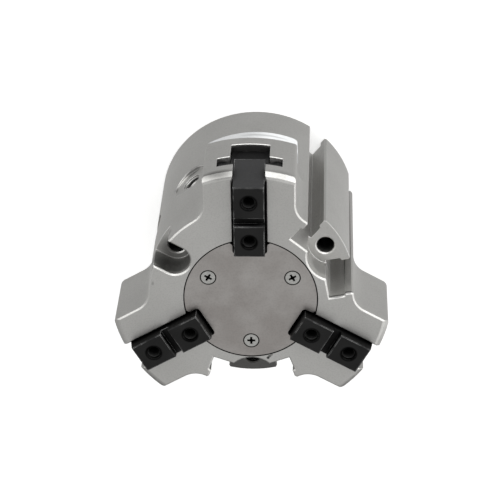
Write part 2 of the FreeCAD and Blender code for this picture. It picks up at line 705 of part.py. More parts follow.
# Base jaw, modelled along +X at rest and then turned to its wing
def make_jaw(index):
    label = f"jaw_{index + 1}"
    body = new_body(label)
    outer = "jaw_outer_end"
    bar_top = f"({BAR_TOP} - guide_clearance)"
    bar_bottom = f"({BAR_BOTTOM} + guide_clearance)"
    stem_bottom = f"({STEM_BOTTOM} + guide_clearance)"
    leg_bottom = "(" + STEM_BOTTOM + " - leg_height)"
    rod_side = "(rod_diameter / 2 + rod_gap)"
    stem_width = "stem_slot_width - 2 * side_clearance"
    bar_width = "bar_slot_width - 2 * side_clearance"
    neck_width = "neck_slot_width - 2 * side_clearance"
    blocks = (
        ("stem", box_corners(rod_side, "jaw_bar_end", stem_bottom, bar_top), stem_width),
        ("bar", box_corners("jaw_inner_end", "jaw_bar_end", bar_bottom, bar_top), bar_width),
        ("neck", box_corners("jaw_inner_end", outer, bar_bottom, JAW_TOP), neck_width),
    )
    for name, corners, width in blocks:
        sketch = new_sketch(body, f"{label}_{name}_section", "XZ")
        draw_outline(sketch, corners)
        extrude(body, "Pad", f"{label}_{name}", sketch, width, both=True)

    # Driving leg, rounded outside so that it clears the chamber wall when the jaw is open
    leg = new_sketch(body, f"{label}_leg_outline", "XY", lift=stem_bottom)
    half = "(stem_slot_width / 2 - side_clearance)"
    sweep = "(leg_outer + jaw_stroke)"
    corner = f"(sqrt({sweep} ^ 2 - {half} ^ 2) - jaw_stroke)"
    draw_outline(leg, [
        (rod_side, f"-{half}"),
        (corner, f"-{half}", sweep),
        (corner, half),
        (rod_side, half),
    ])
    extrude(body, "Pad", f"{label}_leg", leg, f"{stem_bottom} - {leg_bottom}", reverse=True)

    # Sloped inner face, and the sloped T-groove that the wedge's rib slides in
    slope = new_sketch(body, f"{label}_slope_section", "XZ")
    below = f"({leg_bottom} - 1)"
    draw_outline(slope, [
        ("0", below),
        (face_at(below, "rib_clearance"), below),
        (face_at(bar_top, "rib_clearance"), bar_top),
        ("0", bar_top),
    ])
    extrude(body, "Pocket", f"{label}_slope", slope, "stem_slot_width", both=True)
    groove_top = f"({HOOK_TOP} + {bar_top}) / 2"
    grooves = (
        ("groove_neck", "0", "rib_neck_height", "rib_neck_width + 2 * rib_clearance"),
        ("groove_head", "rib_neck_height - rib_clearance", "rib_neck_height + rib_head_height + rib_clearance",
         "rib_head_width + 2 * rib_clearance"),
    )
    for name, near, far, width in grooves:
        sketch = new_sketch(body, f"{label}_{name}_section", "XZ")
        draw_outline(sketch, sloped_corners(near, far, below, groove_top))
        extrude(body, "Pocket", f"{label}_{name}", sketch, width, both=True)

    # Outer end, leaning outwards from the finger seat down
    lean = new_sketch(body, f"{label}_end_section", "XZ")
    draw_outline(lean, [
        (outer, f"{JAW_TOP} - jaw_draft_height"),
        (f"{outer} + 1", f"{JAW_TOP} - jaw_draft_height"),
        (f"{outer} + 1", JAW_TOP),
        ("jaw_outer_top", JAW_TOP),
    ])
    extrude(body, "Pocket", f"{label}_end", lean, "wing_width", both=True)

    # Key slot across the finger seat, then the edges of the seat, then its two threads
    key = new_sketch(body, f"{label}_key_section", "XZ")
    middle = "(finger_hole_inner + finger_hole_pitch / 2)"
    wall = "key_slot_width / 2"
    draw_outline(key, box_corners(
        f"{middle} - {wall}", f"{middle} + {wall}", f"{JAW_TOP} - key_slot_depth", f"{JAW_TOP} + 1"))
    extrude(body, "Pocket", f"{label}_key", key, "wing_width", both=True)
    top = number(JAW_TOP)
    dress(body, "Chamfer", f"{label}_edges", lambda edge: on_height(edge, top), "jaw_edge_break")
    centres = new_sketch(body, f"{label}_thread_centres", "XY", lift=JAW_TOP)
    draw_circle(centres, "finger_hole_inner", "0", "finger_hole_diameter")
    draw_circle(centres, "finger_hole_inner + finger_hole_pitch", "0", "finger_hole_diameter")
    drill(body, f"{label}_threads", centres, "finger_hole_diameter", "finger_hole_depth", "finger_hole_mouth")
    body.Placement = Placement(Vector(), Rotation(Vector(0, 0, 1), 1))
    bind(body, "Placement.Rotation.Angle", f"first_wing_angle + {index} * 360 / wing_count")
    return body


# Wedge hook: a round core with a sloped flat, an arm and a T rib towards each jaw
def make_wedge_hook():
    body = new_body("wedge_hook")
    section = new_sketch(body, "hook_core_section", "XZ")
    nose = "rod_nose_diameter / 2"
    shank = "cap_shank_diameter / 2"
    head = "(cap_head_diameter / 2 + cap_head_gap)"
    seat = f"({HOOK_TOP} - cap_head_inset - cap_head_height)"
    core = "hook_diameter / 2"
    draw_outline(section, [
        (nose, HOOK_BOTTOM),
        (core, HOOK_BOTTOM),
        (core, HOOK_TOP),
        (head, HOOK_TOP),
        (head, seat),
        (shank, seat),
        (shank, ROD_TOP),
        (nose, ROD_TOP),
    ])
    spin(body, "Revolution", "hook_core", section)
    far = f"(hook_face_top + {PASS})"
    flat = new_sketch(body, "hook_flat_section", "XZ", turn="first_wing_angle")
    bottom = f"({HOOK_BOTTOM} - 1)"
    draw_outline(flat, [
        (face_at(bottom), bottom),
        (far, bottom),
        (far, HOOK_TOP),
        (face_at(HOOK_TOP), HOOK_TOP),
    ])
    cut = extrude(body, "Pocket", "hook_flat", flat, "hook_diameter + 2", both=True)
    flats = spread(body, "hook_flats", [cut])
    arm = new_sketch(body, "hook_arm_section", "XZ", turn="first_wing_angle")
    inner = f"({head} + 0.5)"
    arm_bottom = f"({HOOK_TOP} - (hook_face_top - {inner}) / {SLOPE} / 1.2)"
    draw_outline(arm, [
        (inner, arm_bottom),
        (face_at(arm_bottom), arm_bottom),
        (face_at(HOOK_TOP), HOOK_TOP),
        (inner, HOOK_TOP),
    ])
    pads = [extrude(body, "Pad", "hook_arm", arm, "hook_arm_width", both=True)]
    ribs = (
        ("rib_neck", "-1 * rib_neck_height", "rib_neck_height", "rib_neck_width"),
        ("rib_head", "rib_neck_height", "rib_neck_height + rib_head_height", "rib_head_width"),
    )
    for name, near, far_side, width in ribs:
        sketch = new_sketch(body, f"{name}_section", "XZ", turn="first_wing_angle")
        draw_outline(sketch, sloped_corners(near, far_side, HOOK_BOTTOM, HOOK_TOP))
        pads.append(extrude(body, "Pad", name, sketch, width, both=True))
    spread(body, "hook_ribs", pads)
    return body


# Low head screw on the axis, its head at the front or at the rear
def make_axis_screw(label, head_face, side):
    """Screw whose head starts at head_face; side is 1 with the head at the front and -1 at the rear."""
    head = "cap_head_diameter / 2"
    shank = "cap_shank_diameter / 2"
    seat = f"({head_face} - {side} * cap_head_height)"
    tip = f"({seat} - {side} * cap_shank_length)"
    body = turned_body(label, [
        ("0", tip),
        (shank, tip),
        (shank, seat),
        (head, seat),
        (head, head_face),
        ("0", head_face),
    ])
    socket = new_sketch(body, label + "_socket_outline", "XY", lift=head_face)
    draw_hexagon(socket, "0", "cap_socket")
    extrude(body, "Pocket", label + "_socket", socket, "cap_socket_depth", reverse=side < 0)
    return body


# Piston front half in one piece with the rod
def make_piston_rod():
    outer = "(bore_diameter / 2 - piston_clearance)"
    rod = "rod_diameter / 2"
    boss_top = f"({FLANGE_BOTTOM} - piston_stop_gap)"
    nose = "rod_nose_diameter / 2"
    shank = "cap_shank_diameter / 2"
    upper_core = f"({HOOK_TOP} - cap_head_inset - cap_head_height - cap_shank_length)"
    lower_core = f"({PISTON_BOTTOM} + cap_head_inset + cap_head_height + cap_shank_length)"
    return turned_body("piston_rod", [
        (shank, REAR_DISC_TOP),
        ("piston_hub_diameter / 2", REAR_DISC_TOP),
        ("piston_hub_diameter / 2", PISTON_MIDDLE),
        (outer, PISTON_MIDDLE),
        (outer, f"{PISTON_TOP} - seal_land - seal_height"),
        (f"{outer} - seal_depth", f"{PISTON_TOP} - seal_land - seal_height"),
        (f"{outer} - seal_depth", f"{PISTON_TOP} - seal_land"),
        (outer, f"{PISTON_TOP} - seal_land"),
        (outer, PISTON_TOP),
        ("piston_boss_diameter / 2", PISTON_TOP),
        ("piston_boss_diameter / 2", boss_top),
        (rod, boss_top),
        (rod, HOOK_BOTTOM),
        (nose, HOOK_BOTTOM),
        (nose, ROD_TOP),
        (shank, ROD_TOP),
        (shank, upper_core),
        ("0", upper_core),
        ("0", lower_core),
        (shank, lower_core),
    ])


def make_rear_disc():
    outer = "(bore_diameter / 2 - piston_clearance)"
    land = f"({PISTON_BOTTOM} + seal_land)"
    seat = f"({PISTON_BOTTOM} + cap_head_inset + cap_head_height)"
    head = "(cap_head_diameter / 2 + cap_head_gap)"
    return turned_body("piston_rear_disc", [
        (head, PISTON_BOTTOM),
        (outer, PISTON_BOTTOM),
        (outer, land),
        (f"{outer} - seal_depth", land),
        (f"{outer} - seal_depth", f"{land} + seal_height"),
        (outer, f"{land} + seal_height"),
        (outer, REAR_DISC_TOP),
        ("cap_shank_diameter / 2", REAR_DISC_TOP),
        ("cap_shank_diameter / 2", seat),
        (head, seat),
    ])


# Partition between the cylinder and the wedge chamber, with a seal groove inside and one outside
def make_rod_flange():
    outer = "(bore_diameter / 2 - fit_gap)"
    rod = "rod_diameter / 2"
    seal = f"({rod} + rod_seal_width)"
    bush = f"({rod} + seal_clearance + bush_wall)"
    groove_bottom = f"({FLANGE_BOTTOM} + flange_height / 2 - o_ring_height / 2)"
    groove_top = f"({FLANGE_BOTTOM} + flange_height / 2 + o_ring_height / 2)"
    return turned_body("rod_flange", [
        (f"{rod} + partition_gap", FLANGE_BOTTOM),
        (outer, FLANGE_BOTTOM),
        (outer, groove_bottom),
        (f"{outer} - o_ring_depth", groove_bottom),
        (f"{outer} - o_ring_depth", groove_top),
        (outer, groove_top),
        (outer, "flange_shoulder"),
        (bush, "flange_shoulder"),
        (bush, SEAL_TOP),
        (seal, SEAL_TOP),
        (seal, f"{SEAL_TOP} - rod_seal_height"),
        (f"{rod} + partition_gap", f"{SEAL_TOP} - rod_seal_height"),
    ])


# Cover of the cylinder, with its O-ring groove
def make_rear_cover():
    outer = "(cover_bore_diameter / 2 - fit_gap)"
    groove_bottom = "(rear_cover_inset + rear_cover_height / 2 - o_ring_height / 2)"
    return turned_body("rear_cover", [
        ("0", "rear_cover_inset"),
        (outer, "rear_cover_inset"),
        (outer, groove_bottom),
        (f"{outer} - o_ring_depth", groove_bottom),
        (f"{outer} - o_ring_depth", f"{groove_bottom} + o_ring_height"),
        (outer, f"{groove_bottom} + o_ring_height"),
        (outer, COVER_TOP),
        ("0", COVER_TOP),
    ])


def make_rings():
    """Magnet, seals, bush, O-rings and retaining rings."""
    piston = "(bore_diameter / 2 - piston_clearance)"
    rod = "rod_diameter / 2"
    bore = "bore_diameter / 2"
    cover = "cover_bore_diameter / 2"
    front_seal = f"{PISTON_TOP} - seal_land - seal_height"
    flange_groove = f"{FLANGE_BOTTOM} + flange_height / 2 - o_ring_height / 2"
    cover_groove = "rear_cover_inset + rear_cover_height / 2 - o_ring_height / 2"
    slip = f"{bore} - seal_clearance"
    bush = f"{rod} + seal_clearance"
    hub = "piston_hub_diameter / 2"
    rings = (
        ("piston_magnet", hub, f"{bore} - magnet_clearance", REAR_DISC_TOP, "magnet_height"),
        ("piston_seal_front", f"{piston} - seal_depth", slip, front_seal, "seal_height"),
        ("piston_seal_rear", f"{piston} - seal_depth", slip, f"{PISTON_BOTTOM} + seal_land", "seal_height"),
        ("rod_bush", bush, f"{bush} + bush_wall", SEAL_TOP, "bush_length"),
        ("rod_seal", bush, f"{rod} + rod_seal_width", f"{SEAL_TOP} - rod_seal_height", "rod_seal_height"),
        ("flange_seal", f"{bore} - fit_gap - o_ring_depth", bore, flange_groove, "o_ring_height"),
        ("cover_seal", f"{cover} - fit_gap - o_ring_depth", cover, cover_groove, "o_ring_height"),
    )
    pieces = []
    for label, inner, outer, bottom, height in rings:
        pieces.append(turned_body(label, box_corners(inner, outer, bottom, f"{bottom} + {height}")))
    for label, bore_radius, bottom in (
        ("flange_ring", bore, FLANGE_RING_BOTTOM),
        ("cover_ring", cover, "rear_cover_inset - snap_ring_height"),
    ):
        outer = f"({bore_radius} + snap_ring_depth - snap_ring_room)"
        corners = box_corners(f"{outer} - snap_ring_width", outer, bottom, f"{bottom} + snap_ring_height")
        pieces.append(turned_body(label, corners, "snap_ring_arc", "plain_gap_angle"))
    return pieces


# Foil on the barrel, a little slanted
def make_label():
    surface = "body_diameter / 2"
    wide = "(label_width / 2)"
    tall = "(label_height / 2)"
    flat_wide = "(label_width / 2 - label_corner_radius)"
    flat_tall = "(label_height / 2 - label_corner_radius)"
    room = f"({tall} + {PASS})"
    body = turned_body("label", box_corners(
        surface, f"{surface} + label_thickness", f"label_middle - {room}", f"label_middle + {room}"),
        "90", "label_angle")
    trim = new_sketch(body, "label_outline", "YZ", "0", "label_angle", "label_middle")
    around = f"({surface} + {PASS})"
    draw_outline(trim, box_corners(f"-{around}", around, f"-2 * {room}", f"2 * {room}"))
    corners = (
        (wide, f"-{flat_tall}"),
        (wide, flat_tall, "label_corner_radius"),
        (flat_wide, tall),
        (f"-{flat_wide}", tall, "label_corner_radius"),
        (f"-{wide}", flat_tall),
        (f"-{wide}", f"-{flat_tall}", "label_corner_radius"),
        (f"-{flat_wide}", f"-{tall}"),
        (flat_wide, f"-{tall}", "label_corner_radius"),
    )
    cosine = "cos(label_slant * 1 deg)"
    sine = "sin(label_slant * 1 deg)"
    draw_outline(trim, [
        (f"{across} * {cosine} - {up} * {sine}", f"{across} * {sine} + {up} * {cosine}", *radius)
        for across, up, *radius in corners])
    extrude(body, "Pocket", "label_trim", trim, around, reverse=True)
    return body


# Two set screws that close the long air channels at the rear face
def make_transfer_plugs():
    body = new_body("transfer_plugs")
    turn = "plain_gap_angle - port_angle"
    outline = new_sketch(body, "plug_outline", "XY", lift="plug_inset", turn=turn)
    draw_circle(outline, "channel_circle / 2", "0", "plug_diameter")
    plug = extrude(body, "Pad", "plug", outline, "plug_length")
    hexagon = new_sketch(body, "plug_socket_outline", "XY", lift="plug_inset", turn=turn)
    draw_hexagon(hexagon, "channel_circle / 2", "plug_socket")
    socket = extrude(body, "Pocket", "plug_hexagon", hexagon, "plug_socket_depth", reverse=True)
    spread(body, "plugs", [plug, socket], count="2", angle="2 * port_angle")
    return body


pieces = [
    make_housing(),
    make_cover_plate(),
    make_cover_screws(),
    *(make_jaw(index) for index in range(int(number("wing_count")))),
    make_wedge_hook(),
    make_axis_screw("hook_screw", f"({HOOK_TOP} - cap_head_inset)", 1),
    make_piston_rod(),
    make_rear_disc(),
    make_axis_screw("piston_screw", f"({PISTON_BOTTOM} + cap_head_inset)", -1),
    make_rod_flange(),
    make_rear_cover(),
    *make_rings(),
    make_label(),
    make_transfer_plugs(),
]

doc.recompute()
for item in doc.Objects:
    if "Invalid" in item.State or "Error" in item.State:
        raise RuntimeError(f"{item.Label} did not compute: {item.State}")
os.makedirs("parts", exist_ok=True)
for piece in pieces:
    if piece.Shape.isNull() or not piece.Shape.isValid():
        raise RuntimeError(f"{piece.Label} has no valid shape")
    piece.Shape.exportStep(f"parts/{piece.Label}.step")
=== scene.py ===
import json
import math

import bpy
from mathutils import Matrix, Vector


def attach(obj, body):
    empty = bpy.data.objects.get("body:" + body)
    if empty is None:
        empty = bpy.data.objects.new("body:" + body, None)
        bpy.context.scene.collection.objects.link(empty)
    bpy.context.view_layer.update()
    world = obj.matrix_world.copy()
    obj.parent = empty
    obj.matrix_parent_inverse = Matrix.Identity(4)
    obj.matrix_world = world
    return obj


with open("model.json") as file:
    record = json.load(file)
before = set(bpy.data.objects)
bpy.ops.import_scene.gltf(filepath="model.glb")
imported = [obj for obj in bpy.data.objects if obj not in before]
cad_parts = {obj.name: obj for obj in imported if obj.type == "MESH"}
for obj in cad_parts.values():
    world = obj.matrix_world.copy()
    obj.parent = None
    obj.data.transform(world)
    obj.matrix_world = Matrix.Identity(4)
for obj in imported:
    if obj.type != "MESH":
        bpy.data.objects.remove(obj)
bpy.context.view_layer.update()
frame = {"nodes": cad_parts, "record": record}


def polar(radius, angle, height):
    """Point from its distance to the axis, its angle in degrees and its height."""
    return (radius * math.cos(math.radians(angle)), radius * math.sin(math.radians(angle)), height)


# Camera, fitted to the photograph: metres, directions, and millimetres for the lens and its sensor
CAMERA_PLACE = (-0.02012, -0.26569, 0.51518)
CAMERA_RIGHT = (-0.999254, 0.014496, -0.035804)
CAMERA_UP = (0.004512, -0.876751, -0.480923)
CAMERA_BACK = (-0.038363, -0.480725, 0.876032)
LENS = 149.31
SENSOR_WIDTH = 36
CLIP_START = 0.01
CLIP_END = 20

# Light: the grey of the studio, the bright band in it, and the point that the lamp faces, in metres
STUDIO_COLOR = (1.0, 1.0, 0.99, 1)
STUDIO_LEVEL = 0.55
BAND_LEVEL = 1.3
LAMP_AIM = (0, 0, 0.04)

# Floor: half its width and its height in metres, and the glow that makes it white to the camera
FLOOR_REACH = 3.0
FLOOR_LEVEL = 0.0
FLOOR_GLOW = 0.45

# The object, in millimetres and degrees. The upper wing is the one at the top of the photograph.
WING_ANGLES = (30, 150, 270)
UPPER_WING = 270
WING_REACH = 36.1
FRONT_FACE = 57
FRONT_EDGE = 56.4
JAW_FACE = 60
PLATE_RADIUS = 17.0
PLATE_SEAT_RADIUS = PLATE_RADIUS + 0.2
SCREW_RADIUS = 1.9
SCREW_HOLE_RADIUS = SCREW_RADIUS + 0.12
SCREW_CIRCLE = 12.4
SCREW_ANGLES = (90, 210, 330)
SCREW_PLACES = [polar(SCREW_CIRCLE, angle, 0)[:2] for angle in SCREW_ANGLES]
RECESS_TOP = 56.88

# Dark joint lines: their widths in millimetres, and how much light they leave
PLATE_JOINT = 0.14
HOLE_JOINT = 0.22
HEAD_JOINT = 0.2
JOINT_LIGHT = 0.05

# Threads that the CAD model has as plain holes. JAW_THREADS is in millimetres, the sizes are in metres.
# A ridge stands off the wall by its size and reaches RIDGE_HALF of the pitch to either side.
THREADS = [mount for mount in frame["record"]["mounts"] if mount["kind"] == "threaded_hole"]
JAW_THREADS = [
    [1000 * value for value in mount["pos_m"][:2]] for mount in THREADS if mount["name"].startswith("jaw")]
JAW_THREAD_MOUTH = 0.0598
JAW_THREAD_SIZES = {"pitch": 0.0007, "depth": 0.0055, "ridge": 0.00022}
PORT_THREAD_SIZES = {"pitch": 0.0008, "depth": 0.0045, "ridge": 0.00028}
THREAD_STEPS = 32
RIDGE_HALF = 0.45

# Worn edges of the T-slot at the upper wing's end: name, start and end sideways, height. Millimetres.
STEM_EDGE = 40.9
BAR_EDGE = 47.5
WORN_EDGES = (
    ("stem_edge", -4.9, 4.9, STEM_EDGE),
    ("bar_edge_left", -8.2, -5.1, BAR_EDGE),
    ("bar_edge_right", 5.1, 8.2, BAR_EDGE),
)
EDGE_RADIUS = 0.2
EDGE_STEPS = 12
EDGE_SIDES = 12

# Painted shade, and a few marks: darker places, with middle and size in millimetres, light in the middle,
# and the share of the size that has that light. Left, right, upper and lower are as in the photograph.
HOUSING_SHADE_AND_MARKS = (
    # painted shade in the screw pockets: the lower one, the upper left one and a wall of the upper right one
    ((0, 25, 49.2), (11, 6.5, 2.3), 0.22, 0.6),
    ((20, -10.5, 52.2), (7, 7, 4.7), 0.45, 0.8),
    ((-18.3, -6.6, 51.6), (4, 3, 4), 0.68, 0.6),
    # painted shade dimming the highlight on the left and right half of the chamfer band at the upper wing's
    # end
    ((8.5, -35.4, 56), (8, 2.5, 2.5), 0.37, 0.2),
    ((-8.5, -35.4, 56), (8, 2.5, 2.5), 0.78, 0.2),
    # painted shade on the front edge beside the upper right pocket
    ((-21.9, -0.62, FRONT_EDGE), (2.7, 1.2, 0.6), 0.42, 0.8),
    ((-24.9, -1.9, FRONT_EDGE), (1.3, 0.9, 0.6), 0.45, 0.8),
    # painted shade in the air port: its hole, and the rear and the side of its spot face
    ((15.0, -18.5, 30.2), (2.9, 2.9, 2.9), 0.06, 0.7),
    ((16, -20.3, 25.2), (2.8, 2.8, 1.3), 0.58, 0.5),
    ((20.1, -16.2, 29), (1, 1, 1.7), 0.6, 0.3),
    # painted shade on the front edge above the upper left pocket
    ((21.5, -8.2, FRONT_EDGE), (4.5, 2.5, 0.6), 0.65, 0.8),
    # painted shade in the T-slot of the upper wing: behind the jaw, and on both sides of it
    ((0, -30.9, 42), (11, 5.4, 9), 0.25, 0.85),
    ((-6.7, -30.6, 49.5), (2.6, 4.7, 5), 0.3, 0.85),
    ((6.7, -30.6, 49.5), (2.6, 4.7, 5), 0.3, 0.85),
    # marks on the front face
    ((24.9, -4.4, FRONT_FACE), (0.4, 0.7, 0.5), 0.75, 0.5),
    ((-4.3, 17.6, FRONT_FACE), (0.5, 0.5, 0.5), 0.1, 0.5),
    ((-4.7, 17.1, FRONT_FACE), (0.5, 0.5, 0.5), 0.3, 0.5),
    ((-5.2, 16.6, FRONT_FACE), (0.5, 0.5, 0.5), 0.5, 0.5),
)
# painted shade in the cross recesses of the cover screws
RECESS_SHADE = [((x, y, FRONT_FACE), (0.65, 0.65, 2), 0.03, 0.6) for x, y in SCREW_PLACES]
# painted shade on the feet of the jaws and in their threaded holes
JAW_SHADE = [(polar(34, angle, 43.4), (5.6, 5.6, 4.6), 0.35, 0.7) for angle in WING_ANGLES]
JAW_SHADE += [((x, y, JAW_FACE), (2.45, 2.45, 1.5), 0.12, 0.8) for x, y in JAW_THREADS]
LABEL_SHADE_AND_LINE = (
    # painted shade on the left half and the right end, and a thin grey line
    ((8, -24, 13), (14, 10, 12), 0.68, 0.5),
    ((-2.5, -25.5, 15.4), (8, 4, 0.7), 0.72, 0.5),
    ((-12.6, -23.5, 26.3), (1.9, 3, 8), 0.45, 0.7),
)

# Colour of edges, a painted highlight and worn bright metal, half the range of a plain material's roughness,
# and samples of the nodes that look for edges and crevices
EDGE_HIGHLIGHT_AND_WEAR = (0.95, 0.95, 0.94)
ROUGHNESS_SWING = 0.05
SHADER_SAMPLES = 8

# Sockets of a Mix node in its colour mode
MIX_FIRST, MIX_SECOND, MIX_RESULT = 6, 7, 2


def put(name, data):
    """New object in the scene."""
    thing = bpy.data.objects.new(name, data)
    bpy.context.scene.collection.objects.link(thing)
    return thing


def put_mesh(name, corners, faces, material):
    """New mesh object in the scene."""
    mesh = bpy.data.meshes.new(name)
    mesh.from_pydata(corners, [], faces)
    mesh.materials.append(material)
    return put(name, mesh)


class Shading:
    """Shader nodes of a material or a world."""

    def __init__(self, owner):
        owner.use_nodes = True
        self.nodes = owner.node_tree.nodes
        self.links = owner.node_tree.links

    def add(self, kind, **settings):
        node = self.nodes.new("ShaderNode" + kind)
        for name, value in settings.items():
            setattr(node, name, value)
        return node

    def give(self, node, values):
        """Sets a node's inputs, by name or number, to values or to other nodes' outputs."""
        for socket, value in values.items():
            if isinstance(value, bpy.types.NodeSocket):
                self.links.new(value, node.inputs[socket])
            else:
                node.inputs[socket].default_value = value

    def spread(self, value, low, high, start=0.3, end=0.7, kind="SMOOTHSTEP"):
        """Value stretched from start..end to low..high."""
        ramp = self.add("MapRange", interpolation_type=kind)
        self.give(ramp, {"Value": value, "From Min": start, "From Max": end, "To Min": low, "To Max": high})
        return ramp.outputs["Result"]

    def math(self, operation, first, second):
        node = self.add("Math", operation=operation)
        self.give(node, {0: first, 1: second})
        return node.outputs[0]

    def times(self, first, second):
        return self.math("MULTIPLY", first, second)

    def mix(self, factor, first, second, kind="MIX"):
        """Colour between two colours or colour outputs."""
        node = self.add("Mix", data_type="RGBA", blend_type=kind)
        values = {"Factor": factor}
        for socket, value in ((MIX_FIRST, first), (MIX_SECOND, second)):
            values[socket] = (*value, 1) if isinstance(value, tuple) else value
        self.give(node, values)
        return node.outputs[MIX_RESULT]


class Material(Shading):
    """A surface. Colour, light (a darkening factor) and normal are linked by finish.

    Lengths are in metres, unless a method says millimetres, and the scales of noise are per metre.
    """

    def __init__(self, name, metallic, color=None):
        """The colour is left out where mottle gives it."""
        self.material = bpy.data.materials.new(name)
        super().__init__(self.material)
        self.shader = self.nodes["Principled BSDF"]
        self.give(self.shader, {"Metallic": metallic})
        self.place = self.add("TexCoord").outputs["Object"]
        self.color = color
        self.light = None
        self.normal = None

    def scaled(self, scale, move=(0, 0, 0)):
        """Place on the object, times scale, plus move."""
        mapping = self.add("Mapping")
        self.give(mapping, {"Vector": self.place, "Scale": scale, "Location": move})
        return mapping.outputs["Vector"]

    def noise(self, scale, detail):
        noise = self.add("TexNoise")
        self.give(noise, {"Vector": self.place, "Scale": scale, "Detail": detail})
        return noise.outputs["Fac"]

    def grey(self, value):
        color = self.add("CombineColor")
        self.give(color, {"Red": value, "Green": value, "Blue": value})
        return color.outputs["Color"]

    def mottle(self, scale, first, second, detail=3):
        """Colour that wanders between two colours."""
        self.color = self.mix(self.spread(self.noise(scale, detail), 0.0, 1.0), first, second)

    def speckle(self, scale, darkest):
        """Fine darker specks."""
        self.darken(self.spread(self.noise(scale, 2), darkest, 1.0, start=0.35, end=0.55))

    def uneven(self, scale, low, high):
        """Roughness that wanders between two values."""
        self.give(self.shader, {"Roughness": self.spread(self.noise(scale, 3), low, high)})

    def rounded(self, radius):
        """Edges that catch the light as if they were rounded."""
        bevel = self.add("Bevel", samples=SHADER_SAMPLES)
        self.give(bevel, {"Radius": radius})
        self.normal = bevel.outputs["Normal"]

    def grain(self, scale, depth):
        """Fine relief."""
        bump = self.add("Bump")
        self.give(bump, {"Height": self.noise(scale, 3), "Distance": depth})
        if self.normal:
            self.give(bump, {"Normal": self.normal})
        self.normal = bump.outputs["Normal"]

    def crevices(self, reach, darkest, closed=0.05, open_from=0.85):
        """Painted shade: darker where other surfaces are nearer than reach."""
        nearness = self.add("AmbientOcclusion", samples=SHADER_SAMPLES)
        self.give(nearness, {"Distance": reach})
        open_share = nearness.outputs["AO"]
        self.darken(self.spread(open_share, darkest, 1.0, start=closed, end=open_from, kind="LINEAR"))

    def edges(self, radius, color, strength, wear=0):
        """Painted highlight and worn bright metal: another colour where the rounded normal leaves the face's
        own. Wear is the size of breaks in it.
        """
        bevel = self.add("Bevel", samples=SHADER_SAMPLES)
        self.give(bevel, {"Radius": radius})
        geometry = self.add("NewGeometry")
        product = self.add("VectorMath", operation="DOT_PRODUCT")
        self.give(product, {0: bevel.outputs["Normal"], 1: geometry.outputs["Normal"]})
        mask = self.spread(product.outputs["Value"], strength, 0.0, start=0.88, end=0.995, kind="LINEAR")
        if wear:
            mask = self.times(mask, self.spread(self.noise(1 / wear, 2), 0.0, 1.0, start=0.4, end=0.6))
        self.color = self.mix(mask, self.color, color)

    def darken(self, factor):
        self.light = self.times(self.light, factor) if self.light else factor

    def painted_shade_and_marks(self, stains):
        """Painted shade, and a few marks: darker in ellipsoids, evenly in the core of each and with a soft
        rim about it.
        """
        for middle, size, light, core in stains:
            place = self.scaled([1000 / s for s in size], [-m / s for m, s in zip(middle, size)])
            length = self.add("VectorMath", operation="LENGTH")
            self.give(length, {0: place})
            self.darken(self.spread(length.outputs["Value"], light, 1.0, start=core, end=1.0))

    def ring(self, x, y, radius, width, light):
        """Darker in a ring about an upright line, in millimetres, with soft rims."""
        length = self.add("VectorMath", operation="LENGTH")
        self.give(length, {0: self.scaled((1000, 1000, 0), (-x, -y, 0))})
        off = self.math("ABSOLUTE", self.math("SUBTRACT", length.outputs["Value"], radius), 0.0)
        self.darken(self.spread(off, light, 1.0, start=width * 0.35, end=width * 0.6, kind="LINEAR"))

    def below(self, height, light):
        """Painted shade: darker below a height, in millimetres."""
        axes = self.add("SeparateXYZ")
        self.give(axes, {"Vector": self.scaled((1000, 1000, 1000))})
        above = axes.outputs["Z"]
        self.darken(self.spread(above, light, 1.0, start=height - 0.05, end=height, kind="LINEAR"))

    def painted_light_by_facing(self, color, painted_side_shade):
        """Painted light: another colour on faces that look away from the axis, and painted shade on faces
        that look sideways.
        """
        normal = self.add("TexCoord").outputs["Normal"]
        outward = self.add("VectorMath", operation="NORMALIZE")
        self.give(outward, {0: self.scaled((1, 1, 0))})
        product = self.add("VectorMath", operation="DOT_PRODUCT")
        self.give(product, {0: normal, 1: outward.outputs["Vector"]})
        facing_out = self.spread(product.outputs["Value"], 0.0, 1.0, start=0.5, end=0.85)
        self.color = self.mix(facing_out, self.color, color)
        axes = self.add("SeparateXYZ")
        self.give(axes, {"Vector": normal})
        level = self.math("ABSOLUTE", axes.outputs["Z"], 0.0)
        radial = self.math("ABSOLUTE", product.outputs["Value"], 0.0)
        self.darken(self.spread(self.math("MAXIMUM", level, radial), painted_side_shade, 1.0, start=0.4, end=0.7))

    def finish(self):
        color = self.color
        if self.light:
            color = self.mix(1.0, color, self.grey(self.light), "MULTIPLY")
            self.give(self.shader, {"Specular IOR Level": self.times(self.light, 0.5)})
        self.give(self.shader, {"Base Color": color})
        if self.normal:
            self.give(self.shader, {"Normal": self.normal})
        return self.material


def housing_material():
    """Satin anodised aluminium, with a painted highlight and worn bright metal on its edges, and painted
    shade in crevices and pockets.
    """
    m = Material("housing_anodised", 1.0)
    m.mottle(60, (0.585, 0.58, 0.565), (0.625, 0.62, 0.605), detail=2)
    m.speckle(2600, darkest=0.93)
    m.uneven(900, 0.40, 0.48)
    m.rounded(0.00025)
    m.grain(6000, depth=0.000004)
    m.edges(0.0002, EDGE_HIGHLIGHT_AND_WEAR, strength=0.8)
    m.crevices(0.007, darkest=0.0, closed=0.08, open_from=0.47)
    m.painted_shade_and_marks(HOUSING_SHADE_AND_MARKS)
    m.ring(0, 0, PLATE_SEAT_RADIUS, PLATE_JOINT, JOINT_LIGHT)
    return m.finish()


